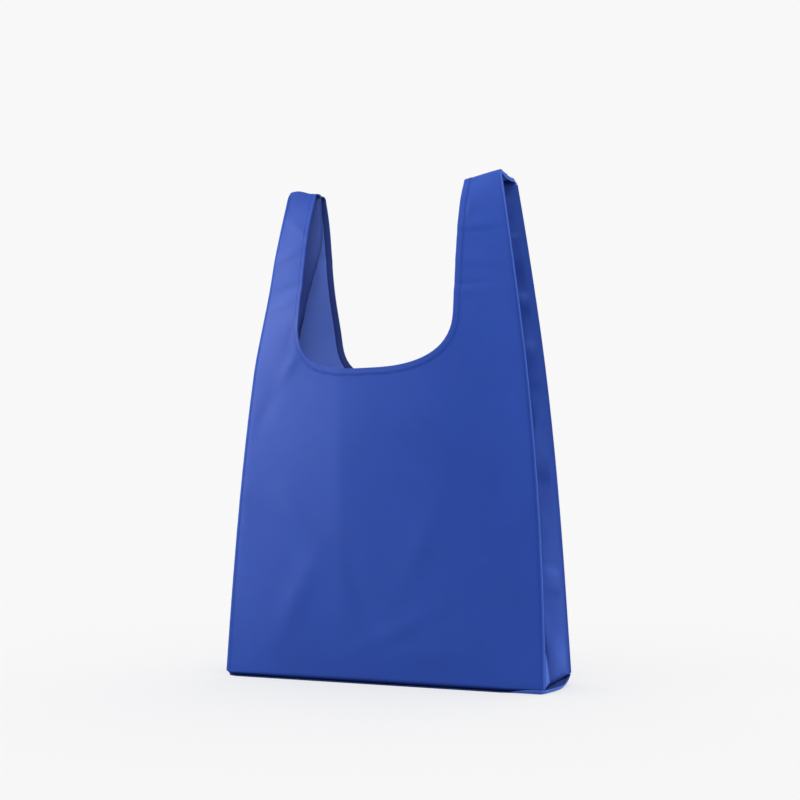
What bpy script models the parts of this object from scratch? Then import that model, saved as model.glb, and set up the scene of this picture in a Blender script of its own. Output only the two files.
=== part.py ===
"""Reusable vest-style shopping bag in woven polyester, standing open on its flat base.

Metres, +Z up. The origin is at the middle of the base on the surface it stands on,
+X runs along the base to the right-hand handle, and the front panel faces -Y.
The bag is five pieces of cloth: a front and a back panel with a strap half at each
side, a base panel, and a folded gusset strip sewn in along each side.
"""

import math

import bpy
import bmesh
import numpy as np
from mathutils import Vector
from mathutils.bvhtree import BVHTree

# Overall outline of the front and back panels, measured between the side seams
HEIGHT = 0.595
BASE_WIDTH = 0.400
LOWER_WIDTH = 0.383
UPPER_WIDTH = 0.347
TOP_WIDTH = 0.284

# Depth from front to back at the side seams, at the base and at each third of the height
BASE_DEPTH = 0.100
LOWER_DEPTH = 0.078
RIGHT_UPPER_DEPTH = 0.069
RIGHT_TOP_DEPTH = 0.056
LEFT_UPPER_DEPTH = 0.058
LEFT_TOP_DEPTH = 0.030

# Depth from front to back at the middle of the bag, which swells out above its base
WAIST_DEPTH = 0.130
MOUTH_DEPTH = 0.142
RIGHT_SWELL_SQUARENESS = 3.0
LEFT_SWELL_SQUARENESS = 2.2

# The neck cut-out between the two handles
NECK_HEIGHT = 0.365
NECK_WIDTH = 0.202
NECK_CORNER_RISE = 0.065
RIGHT_NECK_SQUARENESS = 2.6
LEFT_NECK_SQUARENESS = 3.2
NECK_TOP_WIDTH = 0.195

# Depth across each handle loop's inner edge, at thirds of its height above the neck's sides
RIGHT_LOOP_DEPTHS = (0.1290, 0.1094, 0.0894, 0.0524)
LEFT_LOOP_DEPTHS = (0.1220, 0.0828, 0.0606, 0.0282)
WAIST_SOFTNESS = 0.018
LOOP_DROP = 0.002

# How far each crown stands above its even height, at thirds from its outer to its inner edge
RIGHT_CROWN_RISES = (0.0010, -0.0003, -0.0022, -0.0041)
LEFT_CROWN_RISES = (0.0030, 0.0035, 0.0005, -0.0020)
CROWN_RADIUS = 0.006
CROWN_SAG = 0.001
CROWN_RISE_START = 0.030

# How the handles have drifted: the right one to the right, the left one forward and inward
RIGHT_HANDLE_SWAY = 0.0037
LEFT_HANDLE_LEAN = 0.009
LEFT_LEAN_START = 0.380
LEFT_LEAN_RISE = 0.140
LEFT_DRAW_IN = 0.0095
LEFT_DRAW_START = 0.370
LEFT_DRAW_RISE = 0.125

# The folded side gussets: how far each crease is drawn in, at even steps up the bag
RIGHT_CREASES = (0.0070, 0.0280, 0.0380, 0.0420)
LEFT_CREASES = (0.0070, 0.0215, 0.0265, 0.0435, 0.0435)
LEFT_TUCK = 0.008
LEFT_TUCK_HEIGHT = 0.527
LEFT_TUCK_REACH = 0.045
GUSSET_BOW = 0.0015
GUSSET_LIFT = 0.0065
GUSSET_TURN_IN = 0.012
GUSSET_FOOT_SHARE = 0.60

# Cloth, seams and hems
CLOTH = 0.0006
HEM_WIDTH = 0.008
HEM_THICKNESS = 0.0012
SEAM_LIP = 0.0022
SEWN_GAP = 0.0003
CROWN_GAP = 0.0006
BASE_FOLD_RADIUS = 0.0045
BASE_TURN_UNDER = 0.012
BASE_CORNER_RADIUS = 0.006
BASE_LAP = 0.004
RIM_RADIUS = 0.004
RIM_BOW = 0.008
RIM_SQUARENESS = 6
CROWN_SEARCH = 0.015

# Cloth colour, as linear red, green and blue
PANEL_BLUE = (0.015, 0.044, 0.268, 1.0)
GUSSET_BLUE = (0.016, 0.040, 0.240, 1.0)
CLOTH_ROUGHNESS = 0.62

# How finely each stretch is divided
STRAP_DIVISIONS = 4
NECK_DIVISIONS = 10
BODY_ROWS = 7
NECK_ROWS = 3
STRAP_ROWS = 9
CORNER_STEPS = 3
CROWN_ROWS = 2
FOLD_STEPS = 3
GUSSET_ROWS = 18
GUSSET_DIVISIONS = 3
BASE_ROWS = 6
BASE_DIVISIONS = 4
RIM_STEPS = 3

LAYER = CLOTH + SEWN_GAP
LOOP_ROWS = STRAP_ROWS + CORNER_STEPS + CROWN_ROWS
LIP_FLARE = math.radians(30)
NECK_SIDE_HEIGHT = NECK_HEIGHT + NECK_CORNER_RISE
LOOP_HEIGHT = HEIGHT - LOOP_DROP
LOOP_TOP = LOOP_HEIGHT - CROWN_RADIUS


def curve_through(*values):
    """A smooth curve over the share 0 to 1 that meets these evenly spaced values."""
    shares = np.linspace(0.0, 1.0, len(values))
    return np.poly1d(np.polyfit(shares, values, len(values) - 1))


WIDTH_AT = curve_through(BASE_WIDTH, LOWER_WIDTH, UPPER_WIDTH, TOP_WIDTH)
RIGHT_DEPTH_AT = curve_through(BASE_DEPTH, LOWER_DEPTH, RIGHT_UPPER_DEPTH, RIGHT_TOP_DEPTH)
LEFT_DEPTH_AT = curve_through(BASE_DEPTH, LOWER_DEPTH, LEFT_UPPER_DEPTH, LEFT_TOP_DEPTH)
MIDDLE_DEPTH_AT = curve_through(BASE_DEPTH, WAIST_DEPTH, MOUTH_DEPTH)
CREASE_AT = {1: curve_through(*RIGHT_CREASES), -1: curve_through(*LEFT_CREASES)}
LOOP_DEPTH_AT = {1: curve_through(*RIGHT_LOOP_DEPTHS), -1: curve_through(*LEFT_LOOP_DEPTHS)}
CROWN_RISE_AT = {1: curve_through(*RIGHT_CROWN_RISES), -1: curve_through(*LEFT_CROWN_RISES)}
SWELL_SQUARENESS = {1: RIGHT_SWELL_SQUARENESS, -1: LEFT_SWELL_SQUARENESS}
NECK_SQUARENESS = {1: RIGHT_NECK_SQUARENESS, -1: LEFT_NECK_SQUARENESS}


def smooth_step(share):
    share = min(max(share, 0.0), 1.0)
    return share * share * (3.0 - 2.0 * share)


def half_width(z):
    return WIDTH_AT(z / HEIGHT) / 2


def side_half_depth(side, z):
    depth_at = RIGHT_DEPTH_AT if side > 0 else LEFT_DEPTH_AT
    return depth_at(z / HEIGHT) / 2


def side_of(x):
    return 1 if x > 0 else -1


def sway(x, z):
    """How far a handle has drifted to the right and to the front at this point."""
    if x > 0:
        rise = max(0.0, (z - NECK_SIDE_HEIGHT) / (HEIGHT - NECK_SIDE_HEIGHT))
        return RIGHT_HANDLE_SWAY * rise**2, 0.0
    outwards = (-x - NECK_WIDTH / 2) / (half_width(z) - NECK_WIDTH / 2)
    drawn = smooth_step((z - LEFT_DRAW_START) / LEFT_DRAW_RISE) * smooth_step(outwards)
    near = smooth_step((-x / NECK_WIDTH - 0.25) / 0.20)
    lean = smooth_step((z - LEFT_LEAN_START) / LEFT_LEAN_RISE) * near
    return LEFT_DRAW_IN * drawn, -LEFT_HANDLE_LEAN * lean


def even_half_depth(x, z):
    """Distance of the panel's cloth from the plane between front and back, below the straps."""
    across = min(1.0, abs(x) / half_width(z))
    right_share = smooth_step((x / half_width(z) + 1) / 2)
    at_side = right_share * side_half_depth(1, z) + (1 - right_share) * side_half_depth(-1, z)
    swell = MIDDLE_DEPTH_AT(z / NECK_HEIGHT) / 2 - at_side
    return at_side + swell * (1 - across ** SWELL_SQUARENESS[side_of(x)])


def waist_bend(side):
    """How sharply a loop's inner edge would turn in where its strap starts."""
    step = 0.001
    x = side * NECK_WIDTH / 2
    below = even_half_depth(x, NECK_SIDE_HEIGHT) - even_half_depth(x, NECK_SIDE_HEIGHT - step)
    share = step / (LOOP_TOP - NECK_SIDE_HEIGHT)
    above = (LOOP_DEPTH_AT[side](share) - LOOP_DEPTH_AT[side](0.0)) / 2
    return (above - below) / step


WAIST_BEND = {side: waist_bend(side) for side in (-1, 1)}


def waist_rounding(side, share, z):
    """The correction that rounds that turn off, at a share of the way to the inner edge."""
    off = abs(z - NECK_SIDE_HEIGHT) / WAIST_SOFTNESS
    bell = math.exp(-off * off / 2) / math.sqrt(2 * math.pi)
    tail = bell - off * math.erfc(off / math.sqrt(2)) / 2
    return WAIST_BEND[side] * WAIST_SOFTNESS * tail * share


def strap_share(x, z):
    """0 at the side seam, and 1 from the strap's inner edge inwards."""
    outer, power = half_width(z), SWELL_SQUARENESS[side_of(x)]
    reach = 1 - (NECK_WIDTH / 2 / outer) ** power
    return min(1.0, (1 - min(1.0, abs(x) / outer) ** power) / reach)


def panel_half_depth(x, z):
    """Distance of the panel's cloth from the plane between front and back."""
    side = side_of(x)
    edge = even_half_depth(side * NECK_WIDTH / 2, NECK_SIDE_HEIGHT)
    shift = LOOP_DEPTH_AT[side](0.0) / 2 - edge
    near = smooth_step((z - NECK_SIDE_HEIGHT) / 0.080 + 1)
    share = strap_share(x, z) * smooth_step(abs(x) / (NECK_WIDTH / 2))
    return even_half_depth(x, z) + shift * near * share + waist_rounding(side, share, z)


def front_point(x, z):
    """A point of the front panel below the straps."""
    across, forward = sway(x, z)
    return x + across, forward - panel_half_depth(x, z), z


def strap_outer_path(side):
    """Half depth and height of a strap's outer edge, from the neck's level to the crown."""
    rises = np.linspace(NECK_SIDE_HEIGHT, HEIGHT - CROWN_RADIUS, STRAP_ROWS + 1)
    return over_crown([(side_half_depth(side, z), z) for z in rises])


def strap_inner_path(side):
    """Half depth and height of a strap's inner edge, over the same rows."""
    path = []
    for share in np.linspace(0.0, 1.0, STRAP_ROWS + 1):
        z = NECK_SIDE_HEIGHT + (LOOP_TOP - NECK_SIDE_HEIGHT) * share
        path.append((LOOP_DEPTH_AT[side](share) / 2 + waist_rounding(side, 1.0, z), z))
    return over_crown(path)


def over_crown(path):
    """The path carried on round the crown's corner and level to its middle."""
    corner = path[-1][0] - CROWN_RADIUS
    low = path[-1][1]
    for step in range(1, CORNER_STEPS + 1):
        turn = math.radians(90) * step / CORNER_STEPS
        path.append((corner + CROWN_RADIUS * math.cos(turn), low + CROWN_RADIUS * math.sin(turn)))
    for step in range(1, CROWN_ROWS + 1):
        share = step / CROWN_ROWS
        path.append((corner * (1 - share), low + CROWN_RADIUS - CROWN_SAG * smooth_step(2 * share)))
    return path


def strap_columns(z):
    """Shares across a strap, outer edge to inner edge, with the hem's two lines near the end."""
    width = half_width(min(z, HEIGHT)) - NECK_WIDTH / 2
    hem = 1 - HEM_WIDTH / width
    plain = [hem * step / STRAP_DIVISIONS for step in range(STRAP_DIVISIONS)]
    return plain + [hem - CLOTH / width, hem, 1.0]


STRAP_COLUMNS = len(strap_columns(0.0))


def neck_point(share):
    """x and z on the neck's edge, from the left strap at share -1 to the right at 1."""
    angle = math.radians(90) * (1 - abs(share))
    power = 2 / NECK_SQUARENESS[side_of(share)]
    reach, drop = math.cos(angle) ** power, math.sin(angle) ** power
    x = math.copysign(NECK_WIDTH / 2 * reach, share)
    return x, NECK_SIDE_HEIGHT - NECK_CORNER_RISE * drop


def body_row_heights():
    """Heights of the panel's rows, from the top of the base fold to the start of the neck."""
    bottom = LAYER + CLOTH / 2 + BASE_FOLD_RADIUS
    top = NECK_HEIGHT - 2 * NECK_CORNER_RISE
    heights = list(np.linspace(bottom, top, BODY_ROWS + 1))
    heights.insert(1, bottom + BASE_CORNER_RADIUS)
    return heights


def edge_pull_in(z):
    """How far the rounded bottom corner draws the panel's side edge in at this height."""
    below = max(0.0, BASE_CORNER_RADIUS + CLOTH - z)
    below = min(below, BASE_CORNER_RADIUS)
    return BASE_CORNER_RADIUS - math.sqrt(BASE_CORNER_RADIUS**2 - below**2)


def body_columns(z):
    """x of every column at this height, left side edge to right side edge."""
    inner = NECK_WIDTH / 2
    outer = half_width(z) - edge_pull_in(z)
    shares = strap_columns(z)
    right = [outer + (inner - outer) * share for share in shares]
    middle = list(np.linspace(-inner, inner, NECK_DIVISIONS + 1))[1:-1]
    return [-x for x in right] + middle + right[::-1]


def with_lips(row):
    """The row of points with the seam's lip added past each of its two ends."""
    out = SEAM_LIP * math.cos(LIP_FLARE)
    forward = SEAM_LIP * math.sin(LIP_FLARE)
    left, right = row[0], row[-1]
    left_lip = (left[0] - out, left[1] - forward, left[2])
    right_lip = (right[0] + out, right[1] - forward, right[2])
    return [left_lip] + row + [right_lip]


def base_rows():
    """The panel's lowest rows: the end that turns under the bag, then the fold itself."""
    rows = []
    low = LAYER + CLOTH / 2
    centre = low + BASE_FOLD_RADIUS
    front = BASE_DEPTH / 2
    flat = front - BASE_FOLD_RADIUS
    profile = [(flat - BASE_TURN_UNDER, low)]
    for step in range(FOLD_STEPS):
        turn = math.radians(90) * step / FOLD_STEPS
        forward = BASE_FOLD_RADIUS * math.sin(turn)
        profile.append((flat + forward, centre - BASE_FOLD_RADIUS * math.cos(turn)))
    for half_depth, z in profile:
        columns = body_columns(z)
        row = [(x, -half_depth, z) for x in columns]
        rows.append([row[0]] + row + [row[-1]])
    return rows


def panel_grid():
    """Front panel points by row, with None where the neck is cut away."""
    grid = base_rows()
    heights = body_row_heights()
    for z in heights:
        grid.append(with_lips([front_point(x, z) for x in body_columns(z)]))
    hem_rows = [row / NECK_ROWS for row in range(1, NECK_ROWS)]
    start = heights[-1]
    for row in hem_rows + ["hem_line", "hem", "edge"]:
        points = []
        level = rise_share(row, start, NECK_SIDE_HEIGHT)
        z_side = start + (NECK_SIDE_HEIGHT - start) * level
        columns = body_columns(z_side)
        for index, x in enumerate(columns):
            middle = index - STRAP_COLUMNS
            if 0 <= middle < NECK_DIVISIONS - 1:
                share = -1 + 2 * (middle + 1) / NECK_DIVISIONS
                x_neck, z_neck = neck_point(share)
                level = rise_share(row, start, z_neck)
                x = x + (x_neck - x) * level
                z = start + (z_neck - start) * level
            else:
                z = z_side
            points.append(front_point(x, z))
        grid.append(with_lips(points))
    grid += loop_rows()
    return grid


def rise_share(row, start, top):
    """The share of the way from start to top for a plain row or one of the hem's rows."""
    if row == "edge":
        return 1.0
    if row == "hem":
        return 1 - HEM_WIDTH / (top - start)
    if row == "hem_line":
        return 1 - (HEM_WIDTH + CLOTH) / (top - start)
    return row * (1 - HEM_WIDTH / (top - start))


def loop_rows():
    """Rows of the two strap halves, from the neck's sides up and over to the crown."""
    outer = {side: strap_outer_path(side) for side in (-1, 1)}
    inner = {side: strap_inner_path(side) for side in (-1, 1)}
    rows = []
    for index in range(1, LOOP_ROWS + 1):
        straps = {}
        for side in (-1, 1):
            straps[side] = strap_row(side, outer[side], inner[side], index)
        gap = [None] * (NECK_DIVISIONS - 1)
        rows.append(straps[-1] + gap + straps[1][::-1])
    return rows


def strap_row(side, outer, inner, index):
    """One row across a strap half, lip first, then outer edge to inner edge."""
    outer_depth, outer_z = outer[index]
    inner_depth, inner_z = inner[index]
    outer_x = half_width(outer_z)
    narrowing = smooth_step((inner_z - NECK_SIDE_HEIGHT) / (LOOP_HEIGHT - NECK_SIDE_HEIGHT))
    inner_x = NECK_WIDTH / 2 + (NECK_TOP_WIDTH - NECK_WIDTH) / 2 * narrowing
    before, after = outer[index - 1], outer[min(index + 1, LOOP_ROWS)]
    along = np.array([-(after[0] - before[0]), after[1] - before[1]])
    along /= np.linalg.norm(along)
    outward = np.array([-along[1], along[0]])
    flare = SEAM_LIP * math.sin(LIP_FLARE)
    lip_x = outer_x + SEAM_LIP * math.cos(LIP_FLARE)
    row = [placed(side, lip_x, -outer_depth + flare * outward[0], outer_z + flare * outward[1])]
    power = SWELL_SQUARENESS[side]
    edge_share = 1 - (inner_x / outer_x) ** power
    for share in strap_columns(outer_z):
        x = outer_x + (inner_x - outer_x) * share
        bend = (1 - (x / outer_x) ** power) / edge_share
        depth = outer_depth + (inner_depth - outer_depth) * bend
        z = outer_z + (inner_z - outer_z) * share
        lift = smooth_step((z - LOOP_TOP + CROWN_RISE_START) / (CROWN_RISE_START + 0.004))
        row.append(placed(side, x, -depth, z + CROWN_RISE_AT[side](share) * lift))
    return row


def placed(side, x, y, z):
    """A point on its own side of the bag, with the sway and lean that handles have there."""
    across, forward = sway(side * x, z)
    return side * x + across, y + forward, z


def sheet_mesh(name, grid, thick_cells, material):
    """A cloth sheet from rows of points, given its thickness by a Solidify modifier."""
    mesh = bpy.data.meshes.new(name)
    work = bmesh.new()
    weights = work.verts.layers.deform.verify()
    corners = []
    for row_index, row in enumerate(grid):
        line = []
        for column, point in enumerate(row):
            if point is None:
                line.append(None)
                continue
            vertex = work.verts.new(point)
            thick = (row_index, column) in thick_cells
            vertex[weights][0] = 1.0 if thick else CLOTH / HEM_THICKNESS
            line.append(vertex)
        corners.append(line)
    for lower, upper in zip(corners, corners[1:]):
        for left in range(len(lower) - 1):
            square = (lower[left], lower[left + 1], upper[left + 1], upper[left])
            if None not in square:
                work.faces.new(square)
    bmesh.ops.remove_doubles(work, verts=work.verts, dist=1e-6)
    bmesh.ops.recalc_face_normals(work, faces=work.faces)
    work.to_mesh(mesh)
    work.free()
    sheet = bpy.data.objects.new(name, mesh)
    bpy.context.scene.collection.objects.link(sheet)
    sheet.vertex_groups.new(name="hem")
    solidify = sheet.modifiers.new("thickness", "SOLIDIFY")
    solidify.thickness = HEM_THICKNESS
    solidify.offset = 0.0
    solidify.use_even_offset = True
    solidify.vertex_group = "hem"
    mesh.materials.append(material)
    mesh.shade_smooth()
    return sheet


def cloth_material(name, colour):
    material = bpy.data.materials.new(name)
    material.use_nodes = True
    shader = material.node_tree.nodes["Principled BSDF"]
    shader.inputs["Base Color"].default_value = colour
    shader.inputs["Roughness"].default_value = CLOTH_ROUGHNESS
    shader.inputs["Metallic"].default_value = 0.0
    return material


def clear_scene():
    for item in list(bpy.data.objects):
        bpy.data.objects.remove(item, do_unlink=True)


def hem_cells(grid):
    """Row and column of each point in the hem that runs round the neck and up the straps."""
    cells = set()
    first_loop_row = len(grid) - LOOP_ROWS - 1
    last = len(grid[0]) - 1
    left_edge = STRAP_COLUMNS
    right_edge = last - STRAP_COLUMNS
    for row in range(first_loop_row, len(grid)):
        cells |= {(row, left_edge), (row, left_edge - 1), (row, right_edge), (row, right_edge + 1)}
    for column in range(left_edge, right_edge + 1):
        cells |= {(first_loop_row, column), (first_loop_row - 1, column)}
    return cells


def mirrored_back(grid):
    """The front panel's rows turned into the back panel's, lapped under it at the crown."""
    rows = []
    for row in grid:
        turned = []
        for point in row:
            if point is None:
                turned.append(None)
                continue
            x, y, z = point
            turned.append((x, 2 * sway(x, z)[1] - y, z))
        rows.append(turned)
    rows[-1] = lowered(rows[-1])
    rows.append(lowered(grid[-2]))
    return rows


def lowered(row):
    """A row of the crown set one layer down, and two where both layers are hemmed."""
    hem = HEM_THICKNESS + SEWN_GAP
    edge = STRAP_COLUMNS
    last = len(row) - 1
    hemmed = {edge, edge - 1, last - edge, last - edge + 1}
    down = []
    for column, point in enumerate(row):
        if point is None:
            down.append(None)
            continue
        x, y, z = point
        down.append((x, y, z - (hem if column in hemmed else LAYER)))
    return down


def gusset_row(side, z):
    """A gusset's cloth at one height: lip, seam, fold to the crease, and the same behind."""
    width, depth = half_width(z), side_half_depth(side, z)
    seam_x = width + LAYER * math.sin(LIP_FLARE)
    seam_y = depth - LAYER * math.cos(LIP_FLARE)
    crease_x = width - CREASE_AT[side](z / HEIGHT)
    if side < 0:
        crease_x -= LEFT_TUCK * math.exp(-(((z - LEFT_TUCK_HEIGHT) / LEFT_TUCK_REACH) ** 2))
    lip_x = seam_x + SEAM_LIP * math.cos(LIP_FLARE)
    lip_y = seam_y + SEAM_LIP * math.sin(LIP_FLARE)
    half = [(lip_x, lip_y), (seam_x, seam_y)]
    for step in range(1, GUSSET_DIVISIONS + 1):
        share = step / (GUSSET_DIVISIONS + 1)
        bow = GUSSET_BOW * math.sin(math.pi * share)
        half.append((seam_x + (crease_x - seam_x) * share, seam_y * (1 - share) + bow))
    front = [placed(side, x, -y, z) for x, y in half]
    back = [placed(side, x, y, z) for x, y in half]
    return front + [placed(side, crease_x, 0.0, z)] + back[::-1]


def gusset_foot(side):
    """Rows below the gusset's lowest fold, where it turns in and lies on the base."""
    edge = gusset_row(side, GUSSET_LIFT)
    flat = CLOTH + SEWN_GAP + CLOTH / 2
    turns = [
        (GUSSET_TURN_IN, GUSSET_FOOT_SHARE, flat),
        (GUSSET_TURN_IN / 2, GUSSET_FOOT_SHARE, flat),
        (GUSSET_TURN_IN / 5, (1 + GUSSET_FOOT_SHARE) / 2, (flat + GUSSET_LIFT) / 2),
    ]
    rows = []
    for inward, share, z in turns:
        row = [(x - side * inward, y * share, z) for x, y, z in edge[1:-1]]
        rows.append([row[0]] + row + [row[-1]])
    return rows


def gusset_grid(side, crown):
    """Gusset points by row from the base up, with the top row fitted under the crown."""
    top = HEIGHT - CROWN_RADIUS
    grid = gusset_foot(side)
    for z in np.linspace(GUSSET_LIFT, top, GUSSET_ROWS + 1):
        grid.append(gusset_row(side, z))
    last = [Vector(point) for point in grid[-1]]
    for column in range(2, len(last) - 2):
        x, y, _ = grid[-1][column]
        ceiling = lowest_over(crown, last[column - 1], last[column], last[column + 1])
        if ceiling is not None:
            grid[-1][column] = (x, y, ceiling - CLOTH / 2 - CROWN_GAP)
    return grid


def lowest_over(crown, before, point, after):
    """The lowest point of the crown over a point and half way to its two neighbours."""
    heights = []
    for share in (-0.9, -0.6, -0.3, 0.0, 0.3, 0.6, 0.9):
        start = point.lerp(after if share > 0 else before, abs(share))
        start.z -= CROWN_SEARCH
        hit = crown.ray_cast(start, Vector((0, 0, 1)))[0]
        if hit:
            heights.append(hit.z)
    return min(heights) if heights else None


def crown_tree(*panels):
    """The panels' finished surfaces, to measure the gussets against."""
    graph = bpy.context.evaluated_depsgraph_get()
    points, faces = [], []
    for panel in panels:
        mesh = panel.evaluated_get(graph).to_mesh()
        start = len(points)
        points += [vertex.co.copy() for vertex in mesh.vertices]
        faces += [[start + corner for corner in face.vertices] for face in mesh.polygons]
        panel.evaluated_get(graph).to_mesh_clear()
    return BVHTree.FromPolygons(points, faces)


def base_grid():
    """Base panel points by row from front to back, its two ends curled up into a rim."""
    reach_y = BASE_DEPTH / 2 - BASE_FOLD_RADIUS + BASE_LAP
    straight = reach_y - BASE_CORNER_RADIUS
    corner = []
    for step in range(1, CORNER_STEPS + 1):
        corner.append(straight + BASE_CORNER_RADIUS * math.sin(math.radians(90) * step / CORNER_STEPS))
    plain = list(np.linspace(-straight, straight, BASE_ROWS + 1))
    rows = []
    for y in [-y for y in reversed(corner)] + plain + corner:
        along = abs(y) / reach_y
        bow = RIM_BOW * (1 - along**2)
        beyond = min(max(0.0, abs(y) - straight), BASE_CORNER_RADIUS)
        pull = BASE_CORNER_RADIUS - math.sqrt(BASE_CORNER_RADIUS**2 - beyond**2)
        flat_end = BASE_WIDTH / 2 + bow - pull - RIM_RADIUS
        curl = 1 - along**RIM_SQUARENESS
        right = []
        for step in range(1, BASE_DIVISIONS + 1):
            right.append((flat_end * step / BASE_DIVISIONS, CLOTH / 2))
        for step in range(1, RIM_STEPS + 1):
            turn = math.radians(90) * step / RIM_STEPS
            lift = RIM_RADIUS * (1 - math.cos(turn)) * curl
            right.append((flat_end + RIM_RADIUS * math.sin(turn), CLOTH / 2 + lift))
        left = [(-x, y, z) for x, z in reversed(right)]
        rows.append(left + [(0.0, y, CLOTH / 2)] + [(x, y, z) for x, z in right])
    return rows


def main():
    clear_scene()
    grid = panel_grid()
    panel_material = cloth_material("panel_cloth", PANEL_BLUE)
    gusset_material = cloth_material("gusset_cloth", GUSSET_BLUE)
    base_material = cloth_material("base_cloth", GUSSET_BLUE)
    hem = hem_cells(grid)
    front = sheet_mesh("front_panel", grid, hem, panel_material)
    back = sheet_mesh("back_panel", mirrored_back(grid), hem, panel_material)
    crown = crown_tree(front, back)
    sheet_mesh("gusset_left", gusset_grid(-1, crown), (), gusset_material)
    sheet_mesh("gusset_right", gusset_grid(1, crown), (), gusset_material)
    sheet_mesh("base_panel", base_grid(), (), base_material)


main()
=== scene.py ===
"""Dressed model of a reusable vest-style shopping bag in woven polyester.

Run as a script. The cloth, hems, seams, stitches and soft folds are built over the
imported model, and the bag stands on a plain pale floor in soft studio light.
"""

import math

import bmesh
import bpy
import numpy as np
from bpy.props import FloatProperty, FloatVectorProperty, PointerProperty
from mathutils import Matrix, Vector, noise
from mathutils.bvhtree import BVHTree


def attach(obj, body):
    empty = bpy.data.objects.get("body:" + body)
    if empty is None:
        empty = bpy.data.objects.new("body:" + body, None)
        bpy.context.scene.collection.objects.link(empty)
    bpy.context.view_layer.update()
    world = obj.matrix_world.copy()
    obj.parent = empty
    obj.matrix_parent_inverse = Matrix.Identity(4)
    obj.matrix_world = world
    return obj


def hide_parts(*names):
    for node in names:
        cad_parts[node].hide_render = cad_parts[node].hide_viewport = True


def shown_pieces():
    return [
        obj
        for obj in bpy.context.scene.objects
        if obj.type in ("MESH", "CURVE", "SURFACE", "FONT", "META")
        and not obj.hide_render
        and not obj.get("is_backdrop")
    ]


bl_info = {
    "name": "Vest-style shopping bag",
    "version": (1, 0, 0),
    "blender": (4, 5, 0),
    "location": "3D View > Sidebar > Shopping bag",
    "description": "Builds a sewn woven bag with loop handles and folded side gussets",
    "category": "Object",
}

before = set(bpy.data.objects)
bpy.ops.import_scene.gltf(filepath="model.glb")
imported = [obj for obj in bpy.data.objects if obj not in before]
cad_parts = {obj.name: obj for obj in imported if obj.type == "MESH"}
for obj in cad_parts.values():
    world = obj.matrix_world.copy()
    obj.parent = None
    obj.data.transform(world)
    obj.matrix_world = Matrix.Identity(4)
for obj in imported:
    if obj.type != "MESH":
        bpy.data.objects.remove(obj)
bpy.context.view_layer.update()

# Outline of the panels, in metres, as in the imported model
HEIGHT = 0.595
NECK_HEIGHT = 0.365
NECK_HALF = 0.101
NECK_TOP_HALF = 0.0975
NECK_RISE = 0.065
NECK_SQUARENESS = {1: 2.6, -1: 3.2}
NECK_SIDE = NECK_HEIGHT + NECK_RISE
LOOP_HEIGHT = HEIGHT - 0.002
CROWN_RADIUS = 0.006
CROWN_SAG = 0.001
LEFT_INNER_SAG = -0.0005
CROWN_TURN_DOWN = 0.0035
LOOP_TOP = LOOP_HEIGHT - CROWN_RADIUS
SWAY = {1: 0.0037, -1: 0.0}
LEFT_LEAN = 0.009
LEAN_START = 0.380
LEAN_RISE = 0.140
LEFT_TUCK = 0.0080
LEFT_TUCK_AT = 0.527
LEFT_DRAW_IN = 0.0095
DRAW_START = 0.370
DRAW_RISE = 0.125
WAIST_SOFTNESS = 0.018
SWELL_SQUARENESS = {1: 3.0, -1: 2.2}
BASE_HALF_DEPTH = 0.050
BASE_HALF_WIDTH = 0.200

# Cloth, hems and seams, in metres
CLOTH = 0.0006
HEM_WIDTH = 0.008
HEM_THICKNESS = 0.0012
SEAM_LIP = 0.0022
LIP_FLARE = math.radians(30)
SEWN_GAP = 0.0003
LAYER = CLOTH + SEWN_GAP
HEM_LAYER = HEM_THICKNESS + SEWN_GAP
SINGLE = CLOTH / HEM_THICKNESS
FOLD_RADIUS = 0.0045
TURN_UNDER = 0.012
CORNER_RADIUS = 0.006
GUSSET_LIFT = 0.0065
GUSSET_BOW = 0.0015
RIM_RADIUS = 0.0045
RIM_BOW = 0.008
BASE_REACH = 0.0540
LEFT_ROUNDING = 0.045
CORNER_LIFT = 0.006
BASE_SEAM = BASE_HALF_DEPTH - FOLD_RADIUS - 0.006
UNDER_BASE = 0.00006

# The long fold in the front panel
FOLD_X = -0.042
FOLD_Z = 0.250
FOLD_REACH = 0.150
FOLD_DEPTH = 0.0045

# How much painted shade the cloth gets at its edges and folds: 0 is its own colour, below 0 is
# paler, a painted highlight
FOLD_SHADE = (2.6, 2.6, 2.6, 2.5, 2.3, 1.9, 1.3, 0.6)
LIP_SHADE = (-1.7, -0.7, 0.3)
HEM_SHADE = (0.5, 0.15, 0.8)
GUSSET_EDGE_SHADE = (0.0, 1.6, 0.6)
GUSSET_BACK_EDGE_SHADE = -0.3
CREASE_SHADE = 2.0
RIM_SHADE = -1.4
BASE_EDGE_SHADE = 1.8
# Painted highlight: how much paler a gusset is made near its foot and behind its crease
FOOT_PAINTED_LIGHT = 0.9
BACK_PAINTED_LIGHT = 0.3
# How much the limp cloth of a gusset is mottled, and its painted highlight on the folds that stand
# out, with painted shade in the sunk ones
GUSSET_MOTTLE = 0.45
FOLD_PAINTED_LIGHT = 480.0

# The pale floor: half its size and its grey, with the rest of its brightness its own
FLOOR_REACH = 40.0
FLOOR_GREY = 0.34

# Weave and finish of the cloth
MOTTLE = 0.09
CLOUD_SCALE = 26.0
YARN_ACROSS = 1500.0
YARN_ALONG = 35.0
# How much one unit of painted shade darkens the colour
PAINTED_SHADE_TONE = 0.72
# Tint added per unit of painted highlight
PAINTED_HIGHLIGHT_TINT = (0.020, 0.030, 0.040)
PANEL_GLOSS = 0.29
GUSSET_GLOSS = 0.20

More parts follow.
